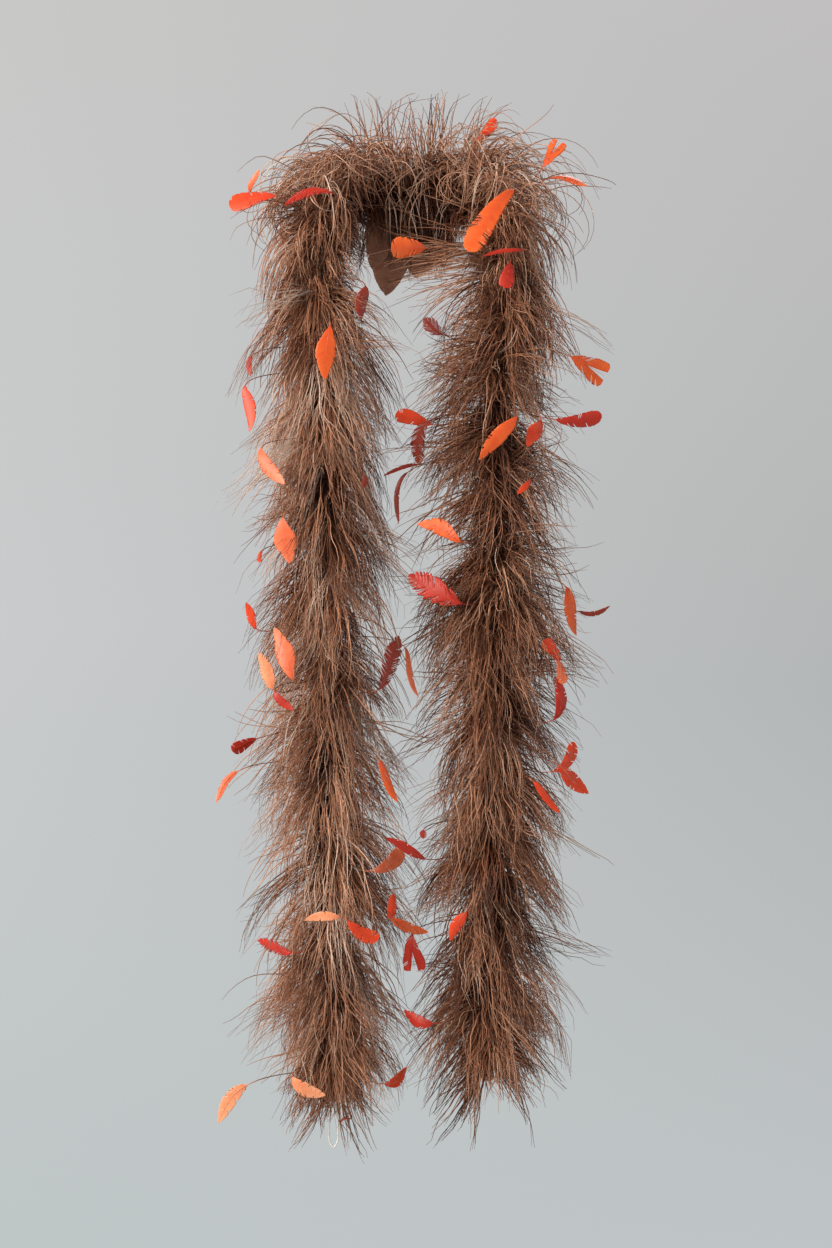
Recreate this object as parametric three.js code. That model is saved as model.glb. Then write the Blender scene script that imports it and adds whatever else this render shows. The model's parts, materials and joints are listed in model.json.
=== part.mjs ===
import * as THREE from 'three';

// A feather boa that hangs round a neck. Millimetres, +Z up, its front faces -Y, and +X is to
// the right of someone who looks at its front. The origin is on the neck's axis, at the height
// where the nape carries the loop.

// The cord that everything is tied to
const cordDiameter = 5;
const neckLoopRadius = 84; // from the neck's axis to the cord
const napeHeight = 12; // the cord above the origin at the nape
const shoulderFall = 40; // how much lower the cord lies at the sides of the neck
const tailForward = 35; // how far in front of the neck's axis the tails hang
const tailTopDrop = 105; // where the tails start to hang straight, below the origin
const leftTailLength = 722;
const rightTailLength = 703;
// How far each tail's cord comes in from the shoulder, at equal steps down the tail
const leftSway = [1, 4, 6, 8, 10, 12, 12];
const rightSway = [-3, 10, 5, 8, 12, 13, 13];
const cordSides = 8;
const loopCordStep = 9;
const curvedTailStep = 15; // below the shoulders
const straightTailStep = 30;

// Plumes: each is one tier of flues, bound to the cord by its collar
const plumeRadius = 58;
const crownPlumeRadius = 52;
const plumeWall = 3;
const collarLength = 12;
const collarWall = 3;
const plumesPerTail = 8;
const plumesPerShoulder = 2;
const crownPlumeHalfLength = 42;
const lastPlumeExtra = 34; // how far the lowest flues reach past the cord's end
const pleats = 8;
const pleatDepth = 0.05; // share of the radius
const rimPoint = 5; // how far the flue points stand out of the rim, and the notches in
const pleatsFrom = 0.3; // share of the radius inside which there are no pleats
const pointsFrom = 0.6; // share of the length above which the pleats end in no points
const neckPress = 0.5; // share of its radius that a loop plume loses on the neck's side
// A bell's outline, in shares of its radius: its turn is where the flues begin to droop
const turnAlong = 0.7;
const turnRadius = 0.72;
const fullAlong = 1.1;
const lastRim = 0.8; // the lowest plume closes in to this share at its rim
// The nape plume's, in shares of its half length and its radius: a hub, then a drum that narrows
const crownEdge = 0.92;
const crownTurnAlong = 0.6;
const crownTurnRadius = 0.86;
const crownHub = 0.7;

// Clearances
const cordClearance = 0.6; // between the cord and what is bound round it
const seatGap = 0.3; // between pieces that sit end to end
const bendGap = 3; // open length of cord at each bending place
const tierGap = 12; // from a plume's rim to the next collar
const bends = [0, 3, 5]; // a tail bends above these plumes, counted from its top

// Ends
const whippingLength = 14;
const whippingWall = 1.4;
const knotDiameter = 11;
const knotLength = 9;
const knotOutline = [[0, 0.55], [0.22, 0.92], [0.5, 1], [0.8, 0.7], [1, 0.45]]; // shares
const threadEase = 0.5; // how much the binding's ends are rounded
const endSides = 16;
const tieLoopLength = 42;
const tieLoopWidth = 8;
const tieLoopCord = 1.8;
// The loop's route from the knot and back, as shares of its half width and its length
const tieLoopRoute = [[-0.25, 0], [-0.6, 0.2], [-1, 0.55], [-0.95, 0.85], [0, 1], [0.95, 0.85],
  [1, 0.55], [0.6, 0.2], [0.25, 0]];

// Accent feathers: a stripped quill and a flat vane
const quillRadius = 0.7;
const vaneThickness = 1.2;
const quillStandOff = 7; // the quill's clearance outside the plumes
const tiePitch = 2.5; // between the quills that are tied in above one plume
const quillDrop = 7; // the quill's place below the tier's gap where it comes out
// A vane's outline as [share of its length, share of its half width], between its base and tip
const vaneOutline = [[0.06, 0.35], [0.2, 0.8], [0.42, 1], [0.66, 0.86], [0.86, 0.48]];
const quillRings = [0, 0.25, 0.5, 0.65, 0.8, 0.9, 1]; // shares of the quill's length
const quillSides = 4;
const carrySteps = 60;

const cordRadius = cordDiameter / 2;
const boreRadius = cordRadius + cordClearance;

const colours = {
  cord: 0x3b261b,
  thread: 0x4a3022,
  plume: 0x7a543f,
  tie: 0xf1efe9,
  orange: 0xf6652a,
  vermilion: 0xee4a26,
  coral: 0xfa7d58,
  peach: 0xfca06a,
  red: 0xd8301a,
  darkRed: 0x9c2d1e,
};

function finish(colour, roughness) {
  return new THREE.MeshStandardMaterial({ color: colour, roughness, metalness: 0 });
}

const boa = new THREE.Group();

function addPiece(name, geometry, material) {
  const mesh = new THREE.Mesh(geometry, material);
  mesh.name = name;
  boa.add(mesh);
}

// The cord's route, from the left tail's end, round the back of the neck, to the right one's
function sideOfNeck(side) {
  const points = [30, 60, 90].map((degrees) => {
    const angle = THREE.MathUtils.degToRad(degrees);
    return new THREE.Vector3(
      side * neckLoopRadius * Math.sin(angle),
      neckLoopRadius * Math.cos(angle),
      napeHeight - shoulderFall * (1 - Math.cos(angle)),
    );
  });
  const collarbone = new THREE.Vector3(
    side * (neckLoopRadius + 1),
    -0.7 * tailForward,
    (napeHeight - shoulderFall - tailTopDrop) / 2,
  );
  return [...points, collarbone];
}

function tailPoints(side, length, sway) {
  return sway.map((inward, i) => new THREE.Vector3(
    side * (neckLoopRadius - inward),
    -tailForward,
    -tailTopDrop - (length * i) / (sway.length - 1),
  ));
}

const leftPoints = [...sideOfNeck(-1), ...tailPoints(-1, leftTailLength, leftSway)];
const rightPoints = [...sideOfNeck(1), ...tailPoints(1, rightTailLength, rightSway)];
const nape = new THREE.Vector3(0, neckLoopRadius, napeHeight);
const route = new THREE.CatmullRomCurve3([...leftPoints.reverse(), nape, ...rightPoints]);
route.arcLengthDivisions = 3000;
const routeLength = route.getLength();

// The distance along the whole route at which a test first holds
function distanceWhere(test) {
  const steps = 6000;
  let i = 0;
  while (i < steps && !test(route.getPointAt(i / steps))) i += 1;
  return (i / steps) * routeLength;
}

const napeAt = distanceWhere((p) => p.x >= 0);
const sides = {
  left: {
    sign: -1,
    length: napeAt,
    tailTop: napeAt - distanceWhere((p) => p.z >= -tailTopDrop),
  },
  right: {
    sign: 1,
    length: routeLength - napeAt,
    tailTop: distanceWhere((p) => p.x > 0 && p.z <= -tailTopDrop) - napeAt,
  },
};

// The cord's place and directions, at a distance from the nape towards one side's end
function cordAt(side, distance) {
  const u = (napeAt + side.sign * distance) / routeLength;
  const clamped = THREE.MathUtils.clamp(u, 0, 1);
  const along = route.getTangentAt(clamped).multiplyScalar(side.sign);
  const point = route.getPointAt(clamped).addScaledVector(along, Math.abs(u - clamped) * routeLength);
  const front = new THREE.Vector3(0, -1, 0);
  front.addScaledVector(along, -front.dot(along)).normalize();
  const right = new THREE.Vector3().crossVectors(front, along);
  return { point, along, front, right };
}

// A point round the cord: angle 0 is the front, and a quarter turn is to +X on a hanging tail
function aroundCord(side, distance, angle, radius) {
  const { point, front, right } = cordAt(side, distance);
  const out = front.multiplyScalar(Math.cos(angle)).addScaledVector(right, Math.sin(angle));
  return point.addScaledVector(out, radius);
}

// Moves every vertex of a lathed shape, whose axis is Y, to its place. The angle runs against
// the lathe's, as it does round the cord, so that the faces still point outwards.
function reshape(geometry, place) {
  const position = geometry.attributes.position;
  for (let i = 0; i < position.count; i += 1) {
    const x = position.getX(i);
    const z = position.getZ(i);
    const p = place(position.getY(i), Math.hypot(x, z), Math.atan2(-x, z));
    position.setXYZ(i, p.x, p.y, p.z);
  }
  geometry.computeVertexNormals();
  return geometry;
}

function lathe(profile, segments) {
  return new THREE.LatheGeometry(profile.map(([along, radius]) => new THREE.Vector2(radius, along)), segments);
}

// Pressed flat where the feathers lie on the neck
function pressedRadius(side, distance, angle, radius) {
  if (distance >= side.tailTop) return radius;
  const { point, front, right } = cordAt(side, distance);
  const out = front.multiplyScalar(Math.cos(angle)).addScaledVector(right, Math.sin(angle));
  const toNeck = new THREE.Vector3(-point.x, -point.y, 0).normalize();
  const press = neckPress * Math.max(0, out.dot(toNeck));
  return boreRadius + (radius - boreRadius) * (1 - press);
}

function pleated(geometry, side, start, fullRadius, rimAt) {
  return reshape(geometry, (along, radius, angle) => {
    const wave = Math.cos(pleats * angle) * THREE.MathUtils.smoothstep(radius, pleatsFrom * fullRadius, fullRadius);
    const point = rimPoint * wave * THREE.MathUtils.smoothstep(Math.abs(along), pointsFrom * rimAt, rimAt);
    const distance = start + along + Math.sign(along) * point;
    const pleatedRadius = radius * (1 + pleatDepth * wave);
    return aroundCord(side, distance, angle, pressedRadius(side, distance, angle, pleatedRadius));
  });
}

// A bell of flues that droops from its collar
function plume(side, start, length, radius, rimRadius) {
  const outer = [
    [0, boreRadius + collarWall],
    [collarLength, boreRadius + collarWall],
    [turnAlong * radius, turnRadius * radius],
    [fullAlong * radius, radius],
    [length, rimRadius],
  ];
  const inner = [
    [length, rimRadius - plumeWall],
    [fullAlong * radius + plumeWall, radius - plumeWall],
    [turnAlong * radius + plumeWall, turnRadius * radius - plumeWall / 2],
    [collarLength, boreRadius],
    [0, boreRadius],
  ];
  return pleated(lathe([...outer, ...inner, outer[0]], 2 * pleats), side, start, radius, length);
}

// The plume at the nape stands up and falls to both sides
function crownPlume() {
  const reach = crownPlumeHalfLength;
  const r = crownPlumeRadius;
  const half = [
    [collarLength / 2, boreRadius],
    [collarLength / 2, boreRadius + collarWall],
    [plumeWall / 2, boreRadius + 2 * collarWall],
    [plumeWall / 2, crownHub * r - plumeWall],
    [crownTurnAlong * reach, crownTurnRadius * r - plumeWall],
    [reach, crownEdge * r - plumeWall],
    [reach, crownEdge * r],
    [reach / 2, r],
  ];
  const other = half.map(([along, radius]) => [-along, radius]).reverse();
  const profile = [...half, ...other, half[0]].reverse();
  return pleated(lathe(profile, 2 * pleats), sides.right, 0, r, reach);
}

function plumeStarts(side) {
  const pitch = (side.length - side.tailTop) / plumesPerTail;
  const tail = Array.from({ length: plumesPerTail }, (_, i) => side.tailTop + pitch * i);
  const shoulderTop = crownPlumeHalfLength + rimPoint;
  const shoulderPitch = (side.tailTop - shoulderTop) / plumesPerShoulder;
  const shoulder = Array.from({ length: plumesPerShoulder }, (_, i) => shoulderTop + shoulderPitch * i);
  return { tail, shoulder, pitch, shoulderPitch };
}

function addPlumes(name, side) {
  const { tail, shoulder, pitch, shoulderPitch } = plumeStarts(side);
  const material = () => finish(colours.plume, 0.85);
  const collarStart = bendGap / 2 + seatGap;
  shoulder.forEach((start, i) => {
    const length = shoulderPitch - collarStart - tierGap;
    const shape = plume(side, start + collarStart, length, crownPlumeRadius, crownPlumeRadius);
    addPiece(`plume_shoulder_${name}_${i + 1}`, shape, material());
  });
  tail.forEach((start, i) => {
    const last = i === plumesPerTail - 1;
    const length = pitch - collarStart + (last ? lastPlumeExtra : -tierGap);
    const rimRadius = last ? lastRim * plumeRadius : plumeRadius;
    const shape = plume(side, start + collarStart, length, plumeRadius, rimRadius);
    addPiece(`plume_${name}_${i + 1}`, shape, material());
  });
}

// The cord between two distances from the nape, negative ones on the left
function cordLength(from, to, step) {
  const steps = Math.max(2, Math.round((to - from) / step));
  const points = Array.from({ length: steps + 1 }, (_, i) => {
    const distance = from + ((to - from) * i) / steps;
    return route.getPointAt((napeAt + distance) / routeLength);
  });
  const path = new THREE.CatmullRomCurve3(points);
  const section = new THREE.Shape();
  for (let i = 0; i < cordSides; i += 1) {
    const angle = (2 * Math.PI * i) / cordSides;
    const corner = [cordRadius * Math.cos(angle), cordRadius * Math.sin(angle)];
    if (i === 0) section.moveTo(...corner);
    else section.lineTo(...corner);
  }
  return new THREE.ExtrudeGeometry(section, { steps, extrudePath: path, bevelEnabled: false });
}

function bendDistances(side) {
  const { tail } = plumeStarts(side);
  return bends.map((i) => tail[i]);
}

function addCord() {
  const material = () => finish(colours.cord, 0.9);
  const half = bendGap / 2;
  const topLeft = -bendDistances(sides.left)[0] + half;
  const topRight = bendDistances(sides.right)[0] - half;
  addPiece('cord_neck_loop', cordLength(topLeft, topRight, loopCordStep), material());
  for (const [name, side] of Object.entries(sides)) {
    const cuts = [...bendDistances(side), side.length + half];
    ['upper', 'middle', 'lower'].forEach((place, i) => {
      const near = side.sign * (cuts[i] + half);
      const far = side.sign * (cuts[i + 1] - half);
      const [from, to] = [near, far].sort((a, b) => a - b);
      const step = i === 0 ? curvedTailStep : straightTailStep;
      addPiece(`cord_${name}_${place}`, cordLength(from, to, step), material());
    });
  }
}

// A thread binding round the cord's end, and the knot under it
function addEnd(name, side) {
  const outer = boreRadius + whippingWall;
  const start = side.length - whippingLength;
  const binding = lathe([
    [0, boreRadius], [0, outer - threadEase], [2 * threadEase, outer],
    [whippingLength - 2 * threadEase, outer], [whippingLength, outer - threadEase],
    [whippingLength, boreRadius], [0, boreRadius],
  ], endSides);
  const place = (from) => (along, radius, angle) => aroundCord(side, from + along, angle, radius);
  addPiece(`whipping_${name}`, reshape(binding, place(start)), finish(colours.thread, 0.7));
  const outline = knotOutline.map(([along, radius]) => [along * knotLength, radius * knotDiameter / 2]);
  const knot = lathe([[0, 0], ...outline, [knotLength, 0]], endSides);
  const material = finish(colours.cord, 0.9);
  addPiece(`knot_${name}`, reshape(knot, place(side.length + seatGap)), material);
}

// The narrow loop of cord that hangs from the left tail's knot
function addTieLoop() {
  const side = sides.left;
  const top = side.length + 2 * seatGap + knotLength;
  const points = tieLoopRoute.map(([across, down]) => {
    const { point, right } = cordAt(side, top + down * tieLoopLength);
    return point.addScaledVector(right, across * tieLoopWidth / 2);
  });
  const section = new THREE.Shape();
  section.absarc(0, 0, tieLoopCord / 2, 0, 2 * Math.PI);
  const geometry = new THREE.ExtrudeGeometry(section, {
    steps: 28,
    curveSegments: 4,
    extrudePath: new THREE.CatmullRomCurve3(points),
    bevelEnabled: false,
  });
  addPiece('tie_loop_left', geometry, finish(colours.tie, 0.6));
}

// Accent feathers. Each is tied in above a plume, comes out under the rim of the plume above,
// and has its vane's base and tip as [degrees from the front, stand-off from the plumes, drop].
const accents = [
  ['loop_left_1', 'left', 'shoulder', 1, [12, 9, 16], [-30, 9, 24], 11, 'red'],
  ['loop_left_2', 'left', 'shoulder', 1, [-42, 9, 12], [-71, 38, 12], 21, 'vermilion'],
  ['loop_right_1', 'right', 'shoulder', 0, [60, 10, 16], [76, 34, 18], 13, 'vermilion'],
  ['loop_right_2', 'right', 'shoulder', 1, [46, 16, -4], [52, 44, -10], 13, 'orange'],
  ['loop_right_3', 'right', 'shoulder', 1, [59, 12, -6], [69, 38, 4], 12, 'orange'],
  ['loop_right_4', 'right', 'shoulder', 1, [10, 10, 14], [-30, 11, 60], 18, 'orange'],
  ['left_1', 'left', 'tail', 1, [-90, 14, -22], [-80, 12, 23], 12, 'vermilion'],
  ['left_2', 'left', 'tail', 1, [-58, 9, 39], [-31, 10, 74], 13, 'coral'],
  ['left_3', 'left', 'tail', 2, [-32, 12, 13], [-27, 10, 55], 21, 'coral'],
  ['left_4', 'left', 'tail', 4, [-25, 11, -19], [-43, 11, -67], 18, 'coral'],
  ['left_5', 'left', 'tail', 4, [41, 11, -9], [65, 14, -58], 16, 'darkRed'],
  ['left_6', 'left', 'tail', 4, [-80, 9, 34], [-70, 36, 44], 12, 'red'],
  ['left_7', 'left', 'tail', 6, [32, 12, -27], [67, 15, -44], 16, 'coral'],
  ['left_8', 'left', 'tail', 6, [8, 12, 13], [-20, 12, 16], 12, 'peach'],
  ['left_9', 'left', 'tail', 6, [-29, 10, 46], [-72, 14, 38], 12, 'red'],
  ['left_10', 'left', 'tail', 7, [-33, 8, 68], [-5, 5, 84], 13, 'peach'],
  ['left_11', 'left', 'tail', 7, [45, 8, 76], [70, 14, 64], 11, 'vermilion'],
  ['left_12', 'left', 'tail', 7, [-70, 24, 80], [-76, 50, 115], 14, 'peach'],
  ['right_1', 'right', 'tail', 1, [68, 12, -30], [76, 42, -37], 14, 'orange'],
  ['right_2', 'right', 'tail', 1, [54, 10, 12], [70, 46, 3], 14, 'red'],
  ['right_3', 'right', 'tail', 1, [38, 11, 14], [27, 10, 44], 14, 'vermilion'],
  ['right_4', 'right', 'tail', 1, [17, 11, 14], [-11, 10, 56], 14, 'orange'],
  ['right_5', 'right', 'tail', 1, [-58, 10, 22], [-75, 12, 56], 15, 'darkRed'],
  ['right_6', 'right', 'tail', 2, [-29, 10, 41], [-68, 20, 20], 15, 'orange'],
  ['right_7', 'right', 'tail', 4, [58, 12, 66], [73, 35, 92], 14, 'vermilion'],
  ['right_8', 'right', 'tail', 6, [-18, 10, 23], [-32, 10, 50], 11, 'vermilion'],
  ['right_9', 'right', 'tail', 7, [-48, 10, 38], [-68, 26, 28], 12, 'red'],
];

// Directions along a path, carried from its end back to its start so that nothing twists
function carriedFrames(path, facing) {
  const frames = [];
  let across = new THREE.Vector3().crossVectors(path.getTangentAt(1), facing);
  for (let i = carrySteps; i >= 0; i -= 1) {
    const forward = path.getTangentAt(i / carrySteps);
    across = across.clone().addScaledVector(forward, -across.dot(forward)).normalize();
    frames[i] = { forward, across };
  }
  return frames;
}

function accent(side, tierStart, fullRadius, base, tip, width, tieRise) {
  const at = (degrees, radius, drop) => {
    const angle = THREE.MathUtils.degToRad(degrees);
    return aroundCord(side, tierStart + drop, angle, radius);
  };
  const spot = ([degrees, standOff, drop]) => at(degrees, fullRadius + standOff, drop);
  const path = new THREE.CatmullRomCurve3([
    at(base[0], cordRadius + seatGap + quillRadius, -tieRise),
    at(base[0], fullRadius + quillStandOff, quillDrop),
    spot(base),
    spot(tip),
  ]);
  path.arcLengthDivisions = 400;
  const whole = path.getLength();
  const vane = spot(base).distanceTo(spot(tip));
  const quill = whole - vane;
  const profile = [
    [0, 0],
    ...quillRings.map((share) => [share * quill, quillRadius]),
    ...vaneOutline.map(([along, share]) => [quill + along * vane, share * width / 2]),
    [whole, 0],
  ];
  const { point, front } = cordAt(side, tierStart + base[2]);
  const frames = carriedFrames(path, spot(base).sub(point).normalize().add(front));
  return reshape(lathe(profile, quillSides), (along, radius, angle) => {
    const u = THREE.MathUtils.clamp(along / whole, 0, 1);
    const { forward, across } = frames[Math.round(u * carrySteps)];
    const through = new THREE.Vector3().crossVectors(across, forward);
    const thickness = Math.min(radius, along > quill ? vaneThickness / 2 : quillRadius);
    return path.getPointAt(u)
      .addScaledVector(through, thickness * Math.cos(angle))
      .addScaledVector(across, -radius * Math.sin(angle));
  });
}

function addAccents() {
  const tied = {};
  for (const [name, sideName, place, index, base, tip, width, colour] of accents) {
    const side = sides[sideName];
    const fullRadius = place === 'tail' ? plumeRadius : crownPlumeRadius;
    const tierStart = plumeStarts(side)[place][index];
    tied[tierStart] = (tied[tierStart] ?? 0) + 1;
    const shape = accent(side, tierStart, fullRadius, base, tip, width, tiePitch * tied[tierStart]);
    addPiece(`accent_${name}`, shape, finish(colours[colour], 0.5));
  }
}

addCord();
addPiece('plume_crown', crownPlume(), finish(colours.plume, 0.85));
for (const [name, side] of Object.entries(sides)) {
  addPlumes(name, side);
  addEnd(name, side);
}
addTieLoop();
addAccents();

export default boa;
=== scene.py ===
import json
import math

import bmesh
import bpy
import numpy as np
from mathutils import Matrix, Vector


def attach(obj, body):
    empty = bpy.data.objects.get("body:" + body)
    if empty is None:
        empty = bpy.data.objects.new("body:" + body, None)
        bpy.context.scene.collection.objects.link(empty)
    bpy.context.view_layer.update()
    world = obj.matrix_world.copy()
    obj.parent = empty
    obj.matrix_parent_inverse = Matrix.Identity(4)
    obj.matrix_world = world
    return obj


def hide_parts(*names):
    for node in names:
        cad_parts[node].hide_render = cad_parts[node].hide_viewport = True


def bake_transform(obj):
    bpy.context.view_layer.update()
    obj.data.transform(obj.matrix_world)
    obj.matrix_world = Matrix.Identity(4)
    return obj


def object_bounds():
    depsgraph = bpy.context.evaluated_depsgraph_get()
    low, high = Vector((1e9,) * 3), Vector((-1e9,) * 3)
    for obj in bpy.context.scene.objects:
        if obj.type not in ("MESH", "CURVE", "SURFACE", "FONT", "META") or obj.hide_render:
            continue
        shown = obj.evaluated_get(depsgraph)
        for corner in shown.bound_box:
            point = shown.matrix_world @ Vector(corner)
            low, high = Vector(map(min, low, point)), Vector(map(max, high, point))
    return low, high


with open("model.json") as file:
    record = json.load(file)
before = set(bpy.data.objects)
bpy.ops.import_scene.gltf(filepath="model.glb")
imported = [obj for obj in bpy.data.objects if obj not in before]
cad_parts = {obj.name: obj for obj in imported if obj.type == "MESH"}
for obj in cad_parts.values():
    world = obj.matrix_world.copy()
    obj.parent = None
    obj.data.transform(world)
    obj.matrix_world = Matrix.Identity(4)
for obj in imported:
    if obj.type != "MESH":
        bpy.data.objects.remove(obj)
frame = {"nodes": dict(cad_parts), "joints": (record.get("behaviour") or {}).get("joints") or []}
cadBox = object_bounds()
scene = bpy.context.scene
joints = {joint["name"]: joint for joint in frame["joints"]}
print("frame loaded:", len(frame["nodes"]), "nodes")

# A long lens at the height of the boa's middle
cameraSetup = {
    "place": (0.004, -2.753, -0.396),
    "lens": 85,
    "sensorHeight": 36,
}


def addCamera(setup):
    data = bpy.data.cameras.new("camera")
    data.lens = setup["lens"]
    data.sensor_fit = "VERTICAL"
    data.sensor_height = setup["sensorHeight"]
    data.sensor_width = setup["sensorHeight"]
    data.clip_end = 20
    camera = bpy.data.objects.new("camera", data)
    camera.location = setup["place"]
    camera.rotation_euler = (math.radians(90), 0, 0)
    scene.collection.objects.link(camera)
    scene.camera = camera
    print("camera: lens", setup["lens"])


addCamera(cameraSetup)


def addPiece(name, mesh, material=None):
    piece = bpy.data.objects.new(name, mesh)
    scene.collection.objects.link(piece)
    if material:
        mesh.materials.append(material)
    return piece


# The cord that everything is tied to. Its points are the CAD cord's, in metres, from the nape
# towards one side's end: out round the neck, over the collarbone and down the tail.
core = {
    "loopRadius": 0.084,
    "napeHeight": 0.012,
    "shoulderFall": 0.040,
    "tailForward": 0.035,
    "tailTop": -0.105,
    "radius": 0.0025,
    "tailLength": {"left": 0.722, "right": 0.703},
    "sway": {
        "left": [0.001, 0.004, 0.006, 0.008, 0.010, 0.012, 0.012],
        "right": [-0.003, 0.010, 0.005, 0.008, 0.012, 0.013, 0.013],
    },
    "sign": {"left": -1, "right": 1},
}
tiers = {
    "tail": 8,
    "shoulder": 2,
    "shoulderFrom": 0.047,
    "tailRadius": 0.058,
    "shoulderRadius": 0.052,
}


def sidePoints(side):
    sign = core["sign"][side]
    radius = core["loopRadius"]
    points = []
    for degrees in (30, 60, 90):
        angle = math.radians(degrees)
        height = core["napeHeight"] - core["shoulderFall"] * (1 - math.cos(angle))
        points.append((sign * radius * math.sin(angle), radius * math.cos(angle), height))
    middle = (core["napeHeight"] - core["shoulderFall"] + core["tailTop"]) / 2
    points.append((sign * (radius + 0.001), -0.7 * core["tailForward"], middle))
    sway = core["sway"][side]
    for i, inward in enumerate(sway):
        drop = core["tailLength"][side] * i / (len(sway) - 1)
        points.append((sign * (radius - inward), -core["tailForward"], core["tailTop"] - drop))
    return points


def smoothRoute(points, samples=160):
    # A centripetal Catmull-Rom curve through the points
    p = np.array(points, float)
    p = np.vstack([2 * p[0] - p[1], p, 2 * p[-1] - p[-2]])
    out = []
    for a, b, c, d in zip(p, p[1:], p[2:], p[3:]):
        ab, bc, cd = (max(1e-6, np.linalg.norm(y - x)) ** 0.5 for x, y in ((a, b), (b, c), (c, d)))
        startPull = ((b - a) / ab - (c - a) / (ab + bc) + (c - b) / bc) * bc
        endPull = ((c - b) / bc - (d - b) / (bc + cd) + (d - c) / cd) * bc
        t = np.linspace(0, 1, samples, endpoint=False)[:, None]
        out.append(b + startPull * t + (3 * (c - b) - 2 * startPull - endPull) * t**2
                   + (2 * (b - c) + startPull + endPull) * t**3)
    return np.vstack([*out, p[-2]])


nape = (0, core["loopRadius"], core["napeHeight"])
route = smoothRoute([*sidePoints("left")[::-1], nape, *sidePoints("right")])
stepLengths = np.linalg.norm(np.diff(route, axis=0), axis=1)
routeAt = np.concatenate([[0], np.cumsum(stepLengths)])
napeAt = routeAt[int(np.argmax(route[:, 0] >= 0))]
sideLength = {"left": napeAt, "right": routeAt[-1] - napeAt}


def tailTopOf(side):
    sign = core["sign"][side]
    hanging = (route[:, 0] * sign > 0) & (route[:, 2] <= core["tailTop"])
    return float(np.min(np.abs(routeAt[hanging] - napeAt)))


tailTop = {side: tailTopOf(side) for side in ("left", "right")}


def unit(v):
    return v / np.maximum(np.linalg.norm(v, axis=-1, keepdims=True), 1e-9)


def cordAt(side, distance):
    # The cord's place, and its directions along, to the front and to the right
    sign, step = core["sign"][side], 0.001
    distance = np.atleast_1d(np.asarray(distance, float))
    inside = np.minimum(distance, sideLength[side])

    def placeAt(at):
        return np.stack([np.interp(napeAt + sign * at, routeAt, axis) for axis in route.T], 1)

    along = unit(placeAt(inside + step) - placeAt(inside - step))
    place = placeAt(inside) + along * (distance - inside)[:, None]
    front = np.zeros_like(along)
    front[:, 1] = -1
    front = unit(front - along * np.sum(front * along, axis=1, keepdims=True))
    return place, along, front, np.cross(front, along)


def aroundCord(side, distance, degrees, radius):
    place, along, front, right = cordAt(side, distance)
    angle = np.radians(np.atleast_1d(degrees))[:, None]
    out = front * np.cos(angle) + right * np.sin(angle)
    return place + out * np.atleast_1d(radius)[:, None], out, along


def cordHeight(side, height):
    # The distance along the cord at which it has come down to a height
    distances = np.linspace(0.06, sideLength[side], 900)
    heights = cordAt(side, distances)[0][:, 2]
    return float(np.interp(-height, -heights, distances))


def tierStarts(side, place):
    if place == "tail":
        pitch = (sideLength[side] - tailTop[side]) / tiers["tail"]
        return [tailTop[side] + pitch * i for i in range(tiers["tail"])]
    pitch = (tailTop[side] - tiers["shoulderFrom"]) / tiers["shoulder"]
    return [tiers["shoulderFrom"] + pitch * i for i in range(tiers["shoulder"])]


# The white cord loop that hangs from the left tail's knot, a free cord
tieLoop = {
    "diameter": 0.0018,
    "width": 0.008,
    "length": 0.042,
    "below": 0.0096,
    "route": [(-0.25, 0), (-0.6, 0.2), (-1, 0.55), (-0.95, 0.85), (0, 1), (0.95, 0.85), (1, 0.55),
              (0.6, 0.2), (0.25, 0)],
}


def tieLoopPoints():
    points = []
    for across, down in tieLoop["route"]:
        drop = tieLoop["below"] + down * tieLoop["length"]
        place, _, _, right = cordAt("left", sideLength["left"] + drop)
        points.append(place[0] + right[0] * across * tieLoop["width"] / 2)
    return smoothRoute(points, samples=6)


def addTieLoop():
    points = tieLoopPoints()
    curve = bpy.data.curves.new("tie_loop_line", "CURVE")
    curve.dimensions = "3D"
    curve.bevel_depth = tieLoop["diameter"] / 2
    curve.bevel_resolution = 3
    curve.use_fill_caps = True
    spline = curve.splines.new("POLY")
    spline.points.add(len(points) - 1)
    for point, place in zip(spline.points, points):
        point.co = (*place, 1)
    line = bpy.data.objects.new("tie_loop_line", curve)
    mesh = bpy.data.meshes.new_from_object(line)
    loop = addPiece("tie_loop", mesh)
    bpy.data.objects.remove(line)
    bpy.data.curves.remove(curve)
    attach(loop, "left_lower")
    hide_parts("tie_loop_left")
    return loop


tieLoopPiece = addTieLoop()


def linear(hexColour):
    channels = [int(hexColour[i:i + 2], 16) / 255 for i in (1, 3, 5)]
    return tuple(c / 12.92 if c <= 0.04045 else ((c + 0.055) / 1.055) ** 2.4 for c in channels) + (1.0,)


def newMaterial(name, roughness=0.6, **sockets):
    material = bpy.data.materials.new(name)
    material.use_nodes = True
    shader = material.node_tree.nodes["Principled BSDF"]
    shader.inputs["Roughness"].default_value = roughness
    for socket, value in sockets.items():
        shader.inputs[socket.replace("_", " ")].default_value = value
    return material, shader


def addNode(material, kind, inputs=None, outTo=None, **settings):
    # Adds a node, sets it, links or fills its inputs, and links its first output on
    tree = material.node_tree
    node = tree.nodes.new("ShaderNode" + kind)
    for key, value in settings.items():
        setattr(node, key, value)
    for key, value in (inputs or {}).items():
        if isinstance(value, bpy.types.NodeSocket):
            tree.links.new(value, node.inputs[key])
        else:
            node.inputs[key].default_value = value
    if outTo is not None:
        tree.links.new(node.outputs[0], outTo)
    return node


def setRamp(node, stops):
    ramp = node.color_ramp
    while len(ramp.elements) < len(stops):
        ramp.elements.new(0.5)
    for element, (place, colour) in zip(ramp.elements, stops):
        element.position = place
        element.color = linear(colour) if isinstance(colour, str) else (colour, colour, colour, 1)


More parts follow.
